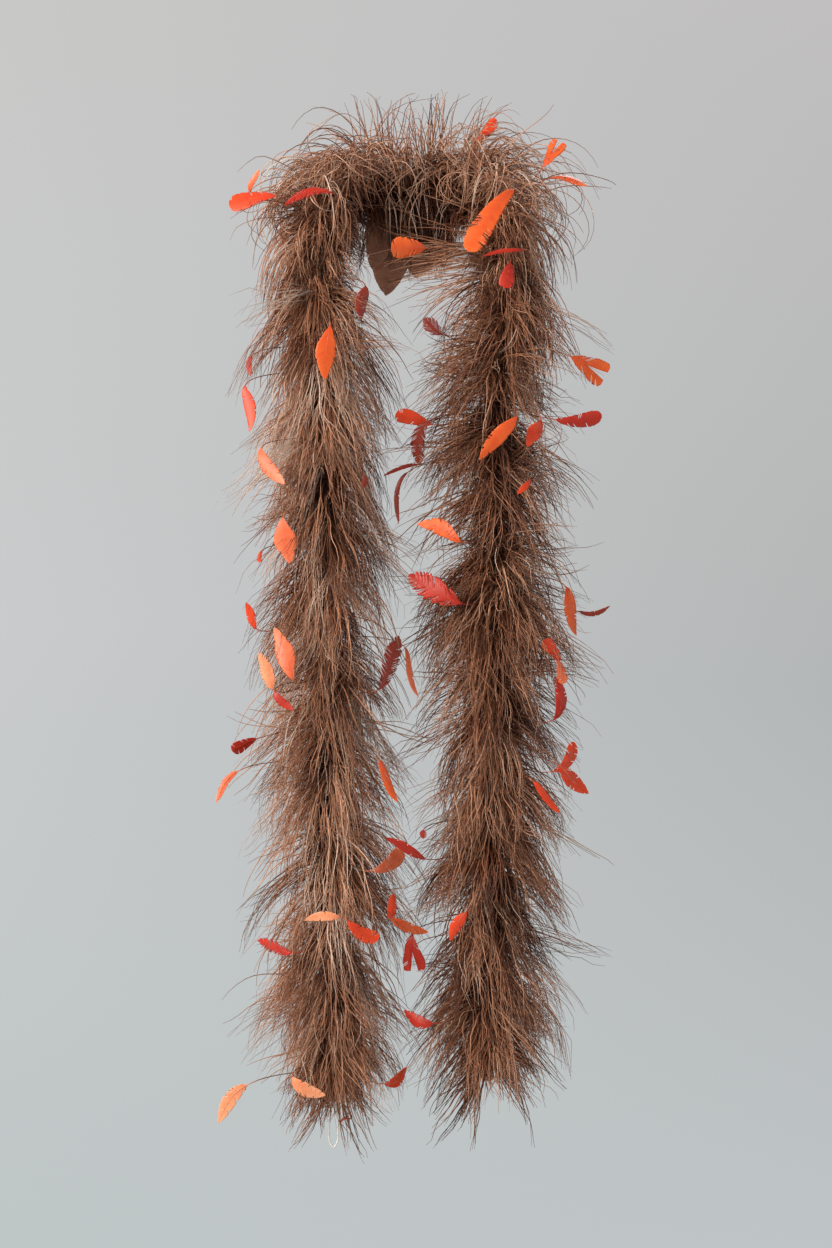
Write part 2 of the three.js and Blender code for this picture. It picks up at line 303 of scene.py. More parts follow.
# Ostrich flues dyed brown: soft barbs, matt, with painted shade where they leave the stem and painted dark
# grey at the ends
flueColours = {
    "byShade": [(0.0, "#401b10"), (0.22, "#885238"), (0.5, "#c58a67"), (0.78, "#e6b798"),
                (1.0, "#fae3d1")],
    "rootDark": [(0.0, 0.35), (0.4, 0.85), (0.75, 1.0)],
    "tipGrey": "#5b483b",
    "tipFrom": 0.6,
    "tipShare": 0.55,
}


def flueMaterial():
    material, shader = newMaterial("ostrich_flues", roughness=0.52, Specular_IOR_Level=0.35)
    shade = addNode(material, "Attribute", attribute_name="shade")
    along = addNode(material, "Attribute", attribute_name="along")
    byShade = addNode(material, "ValToRGB", {"Fac": shade.outputs["Fac"]})
    setRamp(byShade, flueColours["byShade"])
    # painted shade: the flues darken towards the stem, as they look deep in the fur
    rootDark = addNode(material, "ValToRGB", {"Fac": along.outputs["Fac"]})
    setRamp(rootDark, flueColours["rootDark"])
    shadedAtRoot = addNode(material, "Mix", {
        "Factor": 1.0, "A": byShade.outputs["Color"], "B": rootDark.outputs["Color"]},
        data_type="RGBA", blend_type="MULTIPLY")
    # painted shade: the ends turn towards a dark grey, the look of thin tips against the light
    tipShare = addNode(material, "MapRange", {
        "Value": along.outputs["Fac"], "From Min": flueColours["tipFrom"], "From Max": 1.0, "To Min": 0.0,
        "To Max": flueColours["tipShare"]})
    tipShaded = addNode(material, "Mix", {
        "Factor": tipShare.outputs["Result"], "A": shadedAtRoot.outputs["Result"],
        "B": linear(flueColours["tipGrey"])}, data_type="RGBA")
    material.node_tree.links.new(tipShaded.outputs["Result"], shader.inputs["Base Color"])
    return material


flues = flueMaterial()

# Twisted and wound threads: how far apart the turns are, in metres, and how the light catches them
threads = {
    "cord": {"name": "twisted_cotton", "dark": "#4a2e20", "light": "#8c6249", "pitch": 0.0021,
             "bands": "DIAGONAL", "roughness": 0.8, "depth": 0.00025},
    "binding": {"name": "waxed_binding_thread", "dark": "#331d14", "light": "#6e4a37", "pitch": 0.0009,
                "bands": "Z", "roughness": 0.5, "depth": 0.00015},
    "tie": {"name": "white_satin_cord", "dark": "#d8d3cb", "light": "#fbfaf7", "pitch": 0.0014,
            "bands": "DIAGONAL", "roughness": 0.34, "depth": 0.00012},
}


def threadMaterial(setup):
    material, shader = newMaterial(setup["name"], roughness=setup["roughness"], Sheen_Weight=0.25,
                                   Sheen_Roughness=0.5)
    coordinates = addNode(material, "TexCoord")
    # one band every 2 pi units of the wave's own scale
    unitsPerMetre = 10 if setup["bands"] == "DIAGONAL" else 20
    turns = addNode(material, "TexWave", {
        "Vector": coordinates.outputs["Object"], "Scale": 2 * math.pi / (unitsPerMetre * setup["pitch"]),
        "Distortion": 0.6, "Detail": 1.0, "Detail Scale": 1.5}, bands_direction=setup["bands"])
    fibres = addNode(material, "TexNoise", {
        "Vector": coordinates.outputs["Object"], "Scale": 900.0, "Detail": 2.0})
    shared = addNode(material, "Math", {0: fibres.outputs["Fac"], 1: 0.35, 2: turns.outputs["Fac"]},
                     operation="MULTIPLY_ADD")
    colour = addNode(material, "ValToRGB", {"Fac": shared.outputs[0]}, shader.inputs["Base Color"])
    setRamp(colour, [(0.1, setup["dark"]), (0.9, setup["light"])])
    addNode(material, "Bump", {
        "Strength": 0.7, "Distance": setup["depth"], "Height": shared.outputs[0]}, shader.inputs["Normal"])
    return material


threadMaterials = {kind: threadMaterial(setup) for kind, setup in threads.items()}


def dressCadPieces():
    # The cord, whippings and knots keep their shapes and get their threads
    dressed = 0
    for node in frame["nodes"]:
        kind = {"cord": "cord", "whipping": "binding", "knot": "binding"}.get(node.split("_")[0])
        if kind:
            for slot in bpy.data.objects[node].material_slots:
                slot.material = threadMaterials[kind]
            dressed += 1
    tieLoopPiece.data.materials.append(threadMaterials["tie"])
    print("threads on", dressed, "pieces of cord and binding")


dressCadPieces()

# Flues grow in locks, from recipes and seeded draws
random = np.random.default_rng(41)
# What a recipe has when it doesn't say otherwise; recipes are explained where they start
usual = {
    "rings": 9, "azimuth": (-180, 180), "rise": (0, 0), "swirl": (-0.5, 0.5), "axisTurn": 0.4,
    "vary": 1.0, "frizz": 0.0028, "thickness": 0.0005,
}
# How far each flue strays from its lock, in metres, degrees and shares, and where the roots are
stray = {
    "at": 0.005, "azimuth": 14, "lay": 9, "curl": 16, "swirl": 0.16, "noise": 0.25,
    "length": (0.72, 1.04), "droop": (0.8, 1.2), "thickness": (0.8, 1.2), "pinch": (0.75, 1.1),
    "lockWidth": 0.0035, "rootsFrom": (0.002, 0.007), "guideFrom": 0.004,
}
frizzWaves = (1.3, 2.6)  # along a flue
fluePlaces, flueTaper = [0, 0.15, 0.6, 1], [0.75, 1, 0.85, 0.28]


def rotated(v, axis, angle):
    c, s = np.cos(angle)[:, None], np.sin(angle)[:, None]
    return v * c + np.cross(axis, v) * s + axis * np.sum(axis * v, axis=1, keepdims=True) * (1 - c)


def grow(root, heading, axis, length, droop, curl, rings):
    # Steps out from the root: each step is pulled down by the droop and turned about the axis
    points = [root]
    step = (length / (rings - 1))[:, None]
    for i in range(rings - 1):
        t = (i + 0.5) / (rings - 1)
        points.append(points[-1] + heading * step)
        heading = rotated(heading, axis, curl * (0.4 + 1.2 * t) / (rings - 1))
        heading[:, 2] -= droop * (0.5 + t) / (rings - 1) * 2
        heading = unit(heading)
    return np.stack(points, 1)


# How far a flue may stand out past the frame's box: most of 3% of a side and 10 mm
roomAround = [0.8 * (0.03 * (high - low) + 0.01) for low, high in zip(*cadBox)]


def keptInside(points):
    # Eases the longest flues back to the boa's own size
    for i, room in enumerate(roomAround):
        low, high = cadBox[0][i], cadBox[1][i]
        values = points[..., i]
        values = np.where(values > high, high + room * np.tanh((values - high) / room), values)
        points[..., i] = np.where(values < low, low - room * np.tanh((low - values) / room), values)
    return points


def growLocks(side, recipe):
    # Every flue leaves the cord by itself and bends to its lock's guide towards the tip
    recipe = usual | recipe
    locks, rings, vary = recipe["locks"], recipe["rings"], recipe["vary"]
    n = locks * recipe["each"]
    lock = np.repeat(np.arange(locks), recipe["each"])

    def perLock(key):
        return random.uniform(*recipe[key], locks)

    def strayed(key, size=n):
        return random.normal(0, stray[key] * vary, size)

    def share(key):
        return random.uniform(*stray[key], n)

    lockAt = np.sort(perLock("reach"))
    if "gather" in recipe:
        lockAt = recipe["gather"](lockAt)
    guides = {"at": lockAt}
    for key in ("azimuth", "lay", "length"):
        guides[key] = perLock(key)
    if "fullness" in recipe:
        guides["length"] = guides["length"] * recipe["fullness"](lockAt)
    guides["droop"] = perLock("droop")
    guides["curl"] = np.radians(perLock("curl"))
    middleShade, lockShades, ownShades = recipe["shade"]
    shade = np.clip(random.normal(middleShade, lockShades, locks), 0, 1)
    guides["rise"], guides["swirl"], pinchOf = perLock("rise"), perLock("swirl"), perLock("pinch")
    guides["noise"] = unit(random.normal(0, 1, (locks, 3)))
    guides["radius"] = np.full(locks, stray["guideFrom"])
    shareOfLength = share("length")
    own = {key: value[lock] for key, value in guides.items()}
    for key in ("at", "azimuth", "lay"):
        own[key] = own[key] + strayed(key)
    own["length"] = own["length"] * shareOfLength
    own["droop"] = own["droop"] * share("droop")
    own["curl"] = own["curl"] + np.radians(strayed("curl"))
    own["swirl"] = own["swirl"] + strayed("swirl")
    own["noise"] = own["noise"] + strayed("noise", (n, 3))
    own["radius"] = share("rootsFrom")

    def strandsFrom(habit):
        root, out, along = aroundCord(side, habit["at"], habit["azimuth"], habit["radius"])
        angle = np.radians(habit["lay"])[:, None]
        heading = out * np.cos(angle) + along * np.sin(angle)
        heading = heading + np.cross(out, along) * habit["swirl"][:, None]
        heading[:, 2] += habit["rise"]
        heading = unit(heading)
        sideways = unit(np.cross(heading, np.array([0, 0, -1.0])) + 1e-4)
        axis = unit(sideways * (1 - recipe["axisTurn"]) + habit["noise"] * recipe["axisTurn"])
        return grow(root, heading, axis, habit["length"], habit["droop"], habit["curl"], rings)

    guide, flue = strandsFrom(guides), strandsFrom(own)
    t = np.linspace(0, 1, rings)
    # where each flue would be on its guide, at its own share of the length
    place = np.clip(t[None] * shareOfLength[:, None], 0, 1) * (rings - 1)
    low = np.minimum(place.astype(int), rings - 2)
    part = (place - low)[..., None]
    along = guide[lock[:, None], low] * (1 - part) + guide[lock[:, None], low + 1] * part
    scatter = random.normal(0, 1, (n, 1, 3)) * stray["lockWidth"]
    pinch = (pinchOf[lock] * share("pinch"))[:, None] * t[None] ** 1.1
    pinch = np.clip(pinch, 0, 0.97)[..., None]
    points = flue * (1 - pinch) + (along + scatter * (1.15 - t[None, :, None])) * pinch
    for waves in frizzWaves:
        phase = random.uniform(0, 2 * np.pi, (n, 1, 3))
        size = random.normal(0, recipe["frizz"] / waves, (n, 1, 3))
        points += size * np.sin(2 * np.pi * waves * t[None, :, None] + phase) * t[None, :, None]
    thickness = recipe["thickness"] * share("thickness")[:, None]
    shades = np.clip(shade[lock] + random.normal(0, ownShades, n), 0, 1)
    return {"points": keptInside(points), "radius": thickness * np.interp(t, fluePlaces, flueTaper)[None],
            "shade": shades, "lock": lock, "at": lockAt[lock]}


def tubeGroup(name, sides):
    # Turns curves into closed tubes
    group = bpy.data.node_groups.new(name, "GeometryNodeTree")
    group.interface.new_socket("Geometry", in_out="INPUT", socket_type="NodeSocketGeometry")
    group.interface.new_socket("Geometry", in_out="OUTPUT", socket_type="NodeSocketGeometry")
    nodes, links = group.nodes, group.links
    source, result = nodes.new("NodeGroupInput"), nodes.new("NodeGroupOutput")
    poly = nodes.new("GeometryNodeCurveSplineType")
    poly.spline_type = "POLY"
    tube = nodes.new("GeometryNodeCurveToMesh")
    tube.inputs["Fill Caps"].default_value = True
    ring = nodes.new("GeometryNodeCurvePrimitiveCircle")
    ring.inputs["Resolution"].default_value = sides
    ring.inputs["Radius"].default_value = 1
    width = nodes.new("GeometryNodeInputNamedAttribute")
    width.data_type = "FLOAT"
    width.inputs["Name"].default_value = "width"
    links.new(source.outputs[0], poly.inputs["Curve"])
    links.new(poly.outputs["Curve"], tube.inputs["Curve"])
    links.new(ring.outputs["Curve"], tube.inputs["Profile Curve"])
    links.new(width.outputs["Attribute"], tube.inputs["Scale"])
    links.new(tube.outputs["Mesh"], result.inputs[0])
    return group


flueTubes = tubeGroup("flue_tubes", 3)
quillTubes = tubeGroup("quill_tubes", 6)


def tubesFrom(name, batches, group=flueTubes):
    # One mesh from batches of flues, which may differ in their number of rings
    curves = bpy.data.hair_curves.new(name)
    curves.add_curves([rings for b in batches for rings in [b["points"].shape[1]] * len(b["points"])])
    points = np.concatenate([b["points"].reshape(-1, 3) for b in batches])
    curves.position_data.foreach_set("vector", points.astype(np.float32).ravel())
    carried = {"width": [], "along": [], "shade": []}
    for b in batches:
        flueCount, rings = b["points"].shape[:2]
        carried["width"].append(b["radius"].ravel())
        carried["along"].append(b.get("along", np.tile(np.linspace(0, 1, rings), flueCount)))
        carried["shade"].append(np.repeat(b["shade"], rings))
    for key, values in carried.items():
        attribute = curves.attributes.new(key, "FLOAT", "POINT")
        attribute.data.foreach_set("value", np.concatenate(values).astype(np.float32))
    carrier = bpy.data.objects.new(name + "_curves", curves)
    scene.collection.objects.link(carrier)
    carrier.modifiers.new("tubes", "NODES").node_group = group
    evaluated = carrier.evaluated_get(bpy.context.evaluated_depsgraph_get())
    geometry = evaluated.evaluated_geometry()  # held, or its mesh goes
    mesh = geometry.mesh.copy()
    mesh.name = name
    bpy.data.objects.remove(carrier)
    bpy.data.hair_curves.remove(curves)
    mesh.polygons.foreach_set("use_smooth", np.ones(len(mesh.polygons), bool))
    addBakeMap(mesh)
    return addPiece(name, mesh)


def addBakeMap(mesh):
    # A map in which a flue's shade runs across and its length runs up
    shade, along = np.zeros((2, len(mesh.vertices)), np.float32)
    mesh.attributes["shade"].data.foreach_get("value", shade)
    mesh.attributes["along"].data.foreach_get("value", along)
    corner = np.zeros(len(mesh.loops), np.int32)
    mesh.loops.foreach_get("vertex_index", corner)
    offset = np.array([-0.008, 0, 0.008])[corner % 3]
    uv = np.stack([0.02 + 0.96 * shade[corner] + offset, along[corner]], 1)
    layer = mesh.uv_layers.new(name="OFBake")
    layer.uv.foreach_set("vector", uv.astype(np.float32).ravel())


# What rides on what: a piece that comes within this far above or below a bend rides on no body and keeps
# its place
bendHalf = 0.040


def bendsOf(side):
    return [joints[f"{side}_{bend}"] for bend in ("shoulder_swing", "side_bend", "lower_swing")]


def bodyBelow(side, height):
    body = "neck_loop"
    for joint in bendsOf(side):
        if height < joint["pos_m"][2]:
            body = joint["child"]
    return body


def bendTouched(side, low, high):
    for joint in bendsOf(side):
        z = joint["pos_m"][2]
        if low < z + bendHalf and high > z - bendHalf:
            return joint
    return None


def rideOrBend(piece, joint, body):
    if joint is None:
        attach(piece, body)
        return
    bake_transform(piece)


def takeStrands(batch, chosen):
    return {key: value[chosen] for key, value in batch.items()}


def groupFlues(side, batches):
    # Sorts whole locks by their tier and by the bend they touch
    starts, shoulders = tierStarts(side, "tail"), tierStarts(side, "shoulder")
    groups = {}
    for batch in batches:
        locks, z = batch["lock"], batch["points"][..., 2]
        count = locks.max() + 1
        low, high, at = np.full(count, np.inf), np.full(count, -np.inf), np.zeros(count)
        np.minimum.at(low, locks, z.min(1))
        np.maximum.at(high, locks, z.max(1))
        at[locks] = batch["at"]
        keys = {}
        for i in range(count):
            if at[i] < shoulders[0]:
                tier = "crown"
            elif at[i] < starts[0]:
                tier = f"shoulder_{side}_{sum(at[i] >= s for s in shoulders)}"
            else:
                tier = f"{side}_{sum(at[i] >= s for s in starts)}"
            joint = bendTouched(side, low[i], high[i])
            body = None if joint else bodyBelow(side, (low[i] + high[i]) / 2)
            keys.setdefault((tier, joint["name"] if joint else None, body), []).append(i)
        for key, members in keys.items():
            groups.setdefault(key, []).append(takeStrands(batch, np.isin(locks, members)))
    return groups


# A recipe grows locks of "each" flues. reach is from and to along the cord from the nape, in metres;
# azimuth is degrees from the front, lay is degrees from straight out towards the tail's end, and
# rise lifts the start; droop is the pull of gravity, curl the turn in degrees over the whole length,
# and swirl the lean round the cord; pinch is how far a lock closes at its tip; shade is the middle,
# then the spread of the locks and of the flues in one.

# Heights at which each tail is drawn in between two puffs
drawnIn = {
    "left": [-0.160, -0.262, -0.392, -0.560, -0.665, -0.747],
    "right": [-0.190, -0.300, -0.420, -0.509, -0.635, -0.770],
}


def tailRecipes(side):
    top, end = tailTop[side], sideLength[side]
    middle = top + 0.42 * (end - top)
    waists = np.array([top - (height - core["tailTop"]) for height in drawnIn[side]])
    # how much thinner a waist is, and how far the roots keep away from it
    depth, parted = (0.04, 0.006) if side == "left" else (0.16, 0.012)
    waistHalf = 0.022

    def fullness(at):
        gap = (at[:, None] - waists[None]) / waistHalf
        return np.minimum(1.04 - depth * np.exp(-gap**2).sum(1), 0.22 + (end - at) / 0.085)

    def gather(at):
        gap = at[:, None] - waists[None]
        return at + (np.sign(gap) * parted * np.exp(-(gap / waistHalf) ** 2)).sum(1)

    # short flues that hide the cord, painted dark for the shade deep inside the tail
    under = dict(locks=330, each=8, reach=(top - 0.03, end - 0.01), lay=(10, 60), length=(0.026, 0.044),
            droop=(0.4, 1.0), curl=(-60, 80), shade=(0.1, 0.07, 0.07), pinch=(0.1, 0.3), rings=5,
            thickness=0.0006, vary=1.6)
    # the bulk of the tail
    hanging = dict(locks=360, each=15, reach=(top - 0.02, end - 0.012), lay=(8, 58),
            length=(0.076, 0.122), droop=(0.7, 1.7), curl=(-120, 60), shade=(0.5, 0.2, 0.14),
            pinch=(0.4, 0.93), fullness=fullness, gather=gather, thickness=0.00038, frizz=0.0034,
            axisTurn=0.55, swirl=(-0.8, 0.8))
    # flues that stand away from it before they fall
    sweeping = dict(locks=130, each=8, reach=(top, end - 0.02), lay=(-10, 35), length=(0.065, 0.1),
            droop=(0.4, 1.1), curl=(-110, 70), shade=(0.44, 0.18, 0.13), pinch=(0.3, 0.85),
            fullness=fullness, vary=1.5, thickness=0.00042, frizz=0.003, axisTurn=0.6)
    # single thick ones over the rest
    strings = dict(locks=170, each=4, reach=(top - 0.01, end - 0.02), lay=(5, 60), length=(0.08, 0.13),
            droop=(0.6, 1.7), curl=(-150, 130), shade=(0.6, 0.18, 0.1), pinch=(0.1, 0.7),
            fullness=fullness, thickness=0.00068, frizz=0.0022, rings=12, axisTurn=0.6,
            swirl=(-0.9, 0.9))
    # the tail's last tufts, drawn to points
    ends = dict(locks=36, each=7, reach=(end - 0.07, end - 0.012), azimuth=(25, 335), lay=(34, 80),
            length=(0.066, 0.1), droop=(0.5, 1.3), curl=(-120, -10), shade=(0.36, 0.15, 0.1),
            pinch=(0.8, 0.98), thickness=0.00058, axisTurn=0.5, frizz=0.002, rings=12)
    if side == "left":
        return [under, hanging, sweeping, strings, ends]
    # the right tail's upper half is looser, with arcs and frizz
    # most of the right tail's flues take lower shades than the left's: painted shade for the tail the key
    # light reaches less
    arcs = dict(locks=230, each=6, reach=(top - 0.02, middle + 0.05), lay=(-24, 32),
            length=(0.066, 0.114), droop=(0.2, 1.15), curl=(-120, 120), shade=(0.36, 0.17, 0.12),
            pinch=(0.3, 0.85), frizz=0.002, vary=1.2, fullness=fullness, gather=gather, rings=12,
            axisTurn=0.55, swirl=(-0.9, 0.9))
    frizzy = dict(locks=130, each=8, reach=(top - 0.02, middle + 0.03), lay=(-20, 40),
            length=(0.04, 0.075), droop=(0.2, 1.0), curl=(-170, 150), shade=(0.34, 0.15, 0.13),
            pinch=(0.2, 0.8), frizz=0.004, vary=1.5, fullness=fullness, gather=gather, thickness=0.0004,
            axisTurn=0.6)
    lower = dict(hanging, locks=230, each=15, reach=(middle - 0.06, end - 0.012), lay=(5, 56),
            curl=(-150, 40), shade=(0.36, 0.18, 0.13), thickness=0.00042)
    upper = dict(hanging, locks=44, each=9, reach=(top - 0.02, middle), shade=(0.36, 0.16, 0.13))
    return [under, arcs, frizzy, lower, upper, sweeping, dict(strings, shade=(0.52, 0.18, 0.1)), ends]


def loopRecipes(side):
    top = tailTop[side]
    sign = core["sign"][side]

    def around(low, high):
        # degrees from the front, towards the outside of this side
        return (low, high) if sign > 0 else (-high, -low)

    # long ones that arch over, curl into loops or stand up above the nape
    palms = dict(locks=32, each=5, reach=(-0.004, 0.082), azimuth=around(20, 112), lay=(-5, 60),
            length=(0.1, 0.16), droop=(0.9, 1.7), curl=(20, 120), rise=(0.8, 2.0),
            shade=(0.48, 0.18, 0.12), pinch=(0.3, 0.85), rings=15, thickness=0.00056, frizz=0.0015,
            vary=0.9)
    loops = dict(locks=92, each=3, reach=(-0.004, 0.13), azimuth=around(20, 112), lay=(0, 66),
            length=(0.1, 0.16), droop=(0.2, 0.6), curl=(190, 330), rise=(0.9, 2.2),
            shade=(0.62, 0.18, 0.12), pinch=(0.2, 0.7), rings=18, thickness=0.0006, frizz=0.0015,
            vary=0.9, axisTurn=0.45)
    stalks = dict(locks=18, each=2, reach=(-0.02, 0.06), azimuth=around(60, 112), lay=(-25, 40),
            length=(0.105, 0.15), droop=(0.0, 0.3), curl=(-40, 80), rise=(1.5, 3.0),
            shade=(0.42, 0.16, 0.1), pinch=(0.2, 0.7), rings=11, thickness=0.00058)
    # short frizz round the cord, and what hangs inside the loop, its flues painted near black for the
    # shadow there
    band = dict(locks=84, each=9, reach=(-0.02, 0.11), azimuth=around(20, 200), lay=(-45, 55),
            length=(0.024, 0.046), droop=(0.3, 1.1), curl=(-70, 150), rise=(0.0, 0.9),
            shade=(0.34, 0.17, 0.13), pinch=(0.3, 0.8), rings=8, frizz=0.003, thickness=0.00045)
    napeHanging = dict(locks=50, each=10, reach=(-0.02, 0.06), lay=(-35, 35), length=(0.05, 0.085),
            droop=(1.4, 2.6), curl=(-60, 60), rise=(-0.5, 0.1), shade=(0.07, 0.06, 0.05),
            pinch=(0.3, 0.8), thickness=0.00045)
    napeStrings = dict(locks=8, each=2, reach=(-0.03, 0.05), azimuth=(-50, 50), lay=(-25, 25),
            length=(0.06, 0.092), droop=(1.4, 2.6), curl=(-40, 40), shade=(0.78, 0.12, 0.08),
            pinch=(0.3, 0.9), rings=11, thickness=0.0008, frizz=0.001)
    # over the shoulders and down to the tails
    arms = dict(locks=104, each=7, reach=(0.085, top + 0.01), azimuth=around(10, 175), lay=(14, 74),
            length=(0.07, 0.12), droop=(0.8, 1.6), curl=(-20, 130), rise=(-0.4, 0.25),
            shade=(0.46, 0.18, 0.12), pinch=(0.3, 0.85), rings=13, thickness=0.00054, frizz=0.002,
            axisTurn=0.5)
    fill = dict(locks=110, each=10, reach=(0.085, top), azimuth=around(-120, 100), lay=(10, 66),
            length=(0.035, 0.07), droop=(0.8, 1.7), curl=(-90, 60), rise=(-0.4, 0.2),
            shade=(0.4, 0.17, 0.13), pinch=(0.3, 0.8), thickness=0.0004, frizz=0.003)
    # short flues at the cord, painted dark for the shade deep in the fur
    under = dict(locks=140, each=8, reach=(0, top), lay=(-20, 50), length=(0.022, 0.038),
            droop=(0.4, 1.2), curl=(-60, 80), rise=(-0.2, 0.5), shade=(0.08, 0.06, 0.05),
            pinch=(0.1, 0.3), rings=5, thickness=0.0006, vary=1.6)
    recipes = [palms, loops, stalks, band, napeHanging, napeStrings, arms, fill, under]
    if side == "right":
        # a few that lie across the neck opening, towards the other tail
        reach = [cordHeight(side, height) for height in (-0.035, -0.08)]
        recipes.append(dict(locks=22, each=4, reach=reach, azimuth=(-100, -60), lay=(-12, 12),
                length=(0.085, 0.13), droop=(0.0, 0.35), curl=(-40, 60), shade=(0.4, 0.15, 0.1),
                pinch=(0.3, 0.8), rings=13, frizz=0.002))
    return recipes


def addAllFlues():
    groups = {}
    for side in ("left", "right"):
        batches = [growLocks(side, recipe) for recipe in [*tailRecipes(side), *loopRecipes(side)]]
        for key, parts in groupFlues(side, batches).items():
            groups.setdefault((*key, side), []).extend(parts)
    total, seen = 0, {}
    for (tier, jointName, body, side), parts in sorted(groups.items(), key=lambda item: str(item[0])):
        name = f"flues_{tier}_bend" if jointName else f"flues_{tier}"
        seen[name] = seen.get(name, 0) + 1
        if seen[name] > 1:
            name = f"{name}_{seen[name]}"
        piece = tubesFrom(name, parts)
        piece.data.materials.append(flues)
        rideOrBend(piece, joints.get(jointName), body)
        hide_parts(f"plume_{tier}")
        total += len(piece.data.loops) - 2 * len(piece.data.polygons)
    print("flues:", sum(seen.values()), "pieces,", total, "triangles")


addAllFlues()


# Goose and turkey vanes dyed orange to red: satin barbs in a herringbone that split in places.
# Each has its barbs' deep and light colour, its slot and its quill's shade.
vaneColours = {
    "orange": ("#dc3c08", "#f4722c", "accent_orange", 0.55),
    "vermilion": ("#cf2a08", "#f0501c", "accent_vermilion", 0.45),
    "coral": ("#e4532a", "#fb8a5c", "accent_coral", 0.7),
    "peach": ("#ee7a44", "#fbb488", "accent_peach", 0.92),
    "red": ("#9e1606", "#d0341a", "accent_red", 0.3),
    "darkRed": ("#6e1a0c", "#a83e2a", "accent_dark_red", 0.1),
    "web": ("#9a6248", "#d69e7e", "ostrich_flues", 0.05),
}
# outline: shares of the vane's length and of its half width; splits are gaps that run in from the
# edge by their depth; ragged is how uneven the barbs' ends are, lean how far they point to the tip,
# and parting how far the halves stand apart there
vaneKinds = {
    "leaf": {
        "outline": [(0, 0.14), (0.12, 0.5), (0.32, 0.9), (0.52, 1), (0.76, 0.74), (0.92, 0.36), (1, 0.03)],
        "splits": 3, "depth": 0.45, "ragged": 0.07, "lean": 0.7},
    "round": {
        "outline": [(0, 0.12), (0.15, 0.42), (0.4, 0.76), (0.65, 0.97), (0.8, 1), (0.93, 0.78), (1, 0.2)],
        "splits": 3, "depth": 0.5, "ragged": 0.08, "lean": 0.6},
    "diamond": {
        "outline": [(0, 0.16), (0.2, 0.5), (0.42, 0.96), (0.56, 1), (0.78, 0.62), (0.94, 0.3), (1, 0.1)],
        "splits": 2, "depth": 0.3, "ragged": 0.05, "lean": 0.7},
    "slim": {
        "outline": [(0, 0.3), (0.2, 0.8), (0.5, 1), (0.8, 0.75), (1, 0.06)],
        "splits": 2, "depth": 0.4, "ragged": 0.12, "lean": 1.0},
    "fork": {
        "outline": [(0, 0.14), (0.2, 0.5), (0.5, 0.85), (0.75, 1), (0.93, 0.84), (1, 0.5)],
        "splits": 3, "depth": 0.5, "ragged": 0.1, "lean": 1.0, "parting": 0.4},
    "frayed": {
        "outline": [(0, 0.16), (0.2, 0.6), (0.45, 0.95), (0.7, 1), (0.9, 0.6), (1, 0.1)],
        "splits": 12, "depth": 0.85, "ragged": 0.3, "lean": 1.1},
}
vaneKinds["web"] = dict(vaneKinds["leaf"], splits=1, depth=0.3, ragged=0.03, lean=0.9)
vaneBuild = {
    "barbPitch": 0.0013,
    "gapShare": 0.16,
    "rows": 5,
    "thickness": 0.00032,
    "splitOpen": 0.014,
    "splitReach": 5,
    "quillRadius": 0.00055,
    "quillRings": 22,
    "twist": 30,
    "smallCurl": 0.05,
}


def vaneMaterial(name):
    deep, light, *_ = vaneColours[name]
    material, shader = newMaterial(f"dyed_vane_{name}", roughness=0.46, Specular_IOR_Level=0.4,
                                   Sheen_Weight=0.15, Sheen_Roughness=0.4)
    # lighter towards the edges and the tip, and from barb to barb
    across = addNode(material, "Attribute", attribute_name="across")
    shared = addNode(material, "Math", {0: across.outputs["Fac"]}, operation="ABSOLUTE")
    shared = addNode(material, "Math", {0: shared.outputs[0], 1: 0.25}, operation="MULTIPLY")
    for attribute, share in (("along", 0.3), ("barb", 0.6)):
        value = addNode(material, "Attribute", attribute_name=attribute)
        shared = addNode(material, "Math", {
            0: value.outputs["Fac"], 1: share, 2: shared.outputs[0]}, operation="MULTIPLY_ADD")
    colour = addNode(material, "ValToRGB", {"Fac": shared.outputs[0]}, shader.inputs["Base Color"])
    setRamp(colour, [(0.1, deep), (0.95, light)])
    return material


vaneMaterials = {name: vaneMaterial(name) for name in vaneColours}


# Stripped goose quill: smooth keratin, a little glossy, bare near the cord and dyed towards the vane
quillColours = {
    "byShade": [(0.0, "#7c2413"), (0.35, "#d8431f"), (0.7, "#f4855a"), (1.0, "#f9bd97")],
    "bare": "#6b4430",
}


def quillMaterial():
    material, shader = newMaterial("stripped_quill", roughness=0.38, Specular_IOR_Level=0.45)
    shade = addNode(material, "Attribute", attribute_name="shade")
    colour = addNode(material, "ValToRGB", {"Fac": shade.outputs["Fac"]})
    setRamp(colour, quillColours["byShade"])
    along = addNode(material, "Attribute", attribute_name="along")
    dyed = addNode(material, "Mix", {
        "Factor": along.outputs["Fac"], "A": linear(quillColours["bare"]), "B": colour.outputs["Color"]},
        data_type="RGBA")
    material.node_tree.links.new(dyed.outputs["Result"], shader.inputs["Base Color"])
    return material


quillColour = quillMaterial()


def carriedFrames(points, facing):
    # Directions across the path, carried from its tip back to its root
    forward = unit(np.gradient(points, axis=0))
    across = np.cross(forward[-1], facing)
    frames = np.zeros_like(points)
    for i in range(len(points) - 1, -1, -1):
        across = across - forward[i] * np.dot(across, forward[i])
        across = across / max(1e-9, np.linalg.norm(across))
        frames[i] = across
    return forward, frames


def smoothOutline(outline, share):
    fine = smoothRoute([(x, y, 0) for x, y in outline], samples=12)
    order = np.maximum.accumulate(fine[:, 0])
    return np.interp(share, order, np.clip(fine[:, 1], 0, 1.05))


